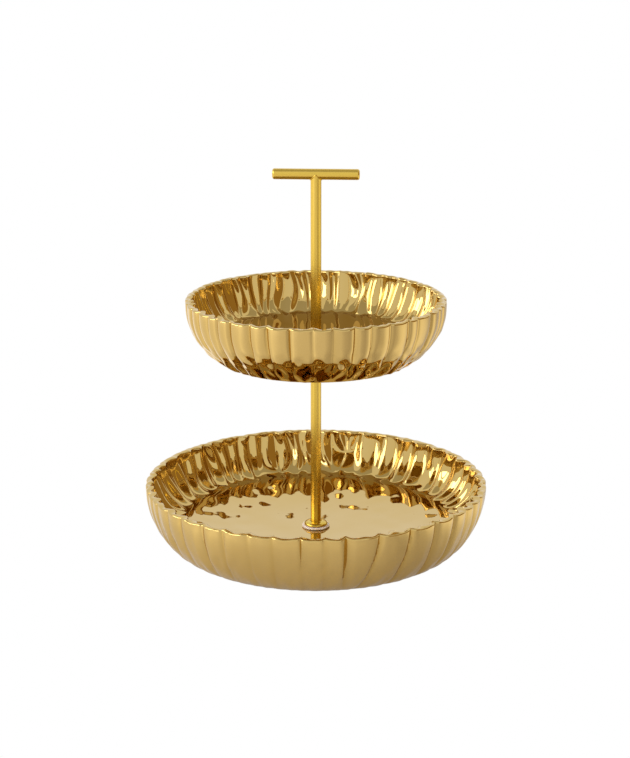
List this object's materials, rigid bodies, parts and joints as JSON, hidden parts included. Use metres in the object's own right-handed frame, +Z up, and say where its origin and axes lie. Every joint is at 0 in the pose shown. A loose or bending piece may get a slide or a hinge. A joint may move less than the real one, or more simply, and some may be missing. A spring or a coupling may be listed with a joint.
{
  "type": "tiered cake stand",
  "caption": "Tiered cake stand: pleated, mirror-gold ceramic bowls clamped one above the other on a slim round post with a T-shaped handle.",
  "frame": {"origin": "middle of the foot, on the surface that the stand rests on", "axes": "+Z up along the post; +X along the handle bar"},
  "size_m": [0.26, 0.26, 0.2886],
  "materials": {
    "mirror_gold": "gold electroplate, polished",
    "satin_gold": "satin",
    "silicone": "matte",
    "zinc_steel": "satin"
  },
  "bodies": {
    "base": {"lower_bowl": "mirror_gold", "base_screw": "zinc_steel", "base_washer": "zinc_steel", "base_gasket": "silicone", "lower_bowl_gasket": "silicone", "post_foot_collar": "satin_gold", "centre_post": "satin_gold", "post_head_collar": "satin_gold", "upper_seat_gasket": "silicone"},
    "upper_tier": {"upper_bowl": "mirror_gold", "handle_gasket": "silicone"},
    "collar": {"handle_collar": "satin_gold"},
    "handle": {"handle_rod": "satin_gold", "handle_bar": "satin_gold", "handle_stud": "zinc_steel"}
  },
  "joints": [
    {"name": "upper_bowl_turn", "type": "hinge", "parent": "base", "child": "upper_tier", "pos_m": [0, 0, 0.1472], "axis": [0, 0, 1], "continuous": true},
    {"name": "handle_rise", "type": "slide", "parent": "base", "child": "collar", "axis": [0, 0, 1], "range_m": [0, 0.0078]},
    {"name": "handle_turn", "type": "hinge", "parent": "collar", "child": "handle", "pos_m": [0, 0, 0.16], "axis": [0, 0, 1], "range_deg": [0, 3510]}
  ],
  "couplings": [
    {"joint": "handle_turn", "follows": "handle_rise", "rad_per_m": 7853}
  ]
}
